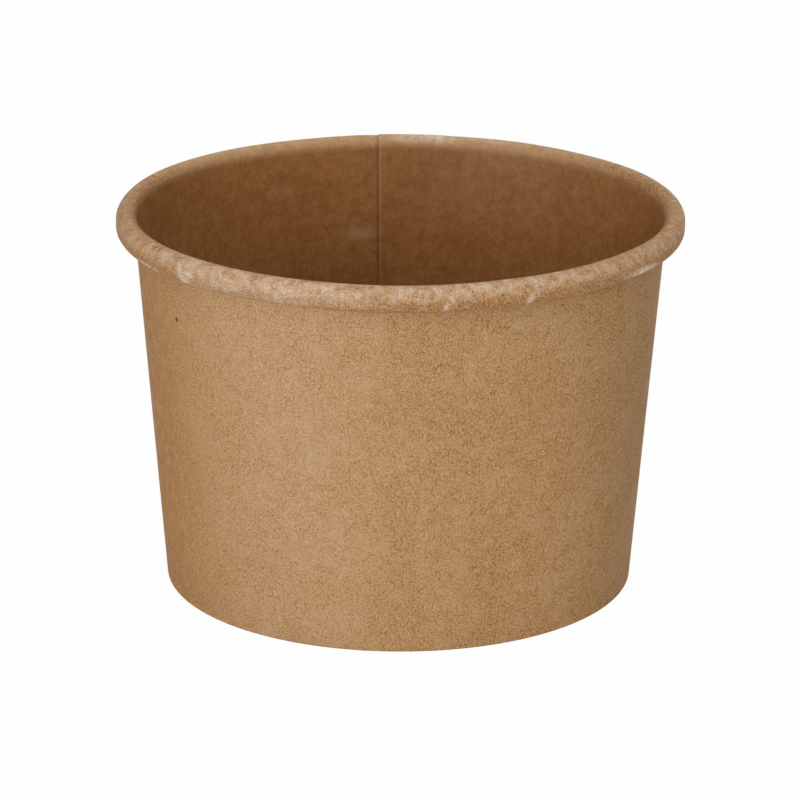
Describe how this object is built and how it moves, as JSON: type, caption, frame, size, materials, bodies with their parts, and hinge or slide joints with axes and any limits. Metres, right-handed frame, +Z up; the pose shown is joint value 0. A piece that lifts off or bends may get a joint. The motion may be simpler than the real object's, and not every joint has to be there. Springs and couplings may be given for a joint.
{
  "type": "paper soup container",
  "caption": "Round tapered paper soup container with a rolled rim, a lapped side seam and a recessed base, open at the top.",
  "frame": {"origin": "centre of the foot, on the surface that the container stands on", "axes": "+Z up along the container's axis, towards the open mouth; -Y is the side that the picture shows, and the side seam is at the back, near +Y"},
  "size_m": [0.09, 0.09, 0.062],
  "materials": {
    "kraft_board": "unbleached kraft board, matt and fibrous outside, with a thin satin lining inside and over the rim",
    "base_board": "unbleached kraft board with a thin satin lining on the upper side"
  },
  "bodies": {
    "root": {"side_wall": "kraft_board", "base_disc": "base_board"}
  },
  "joints": []
}
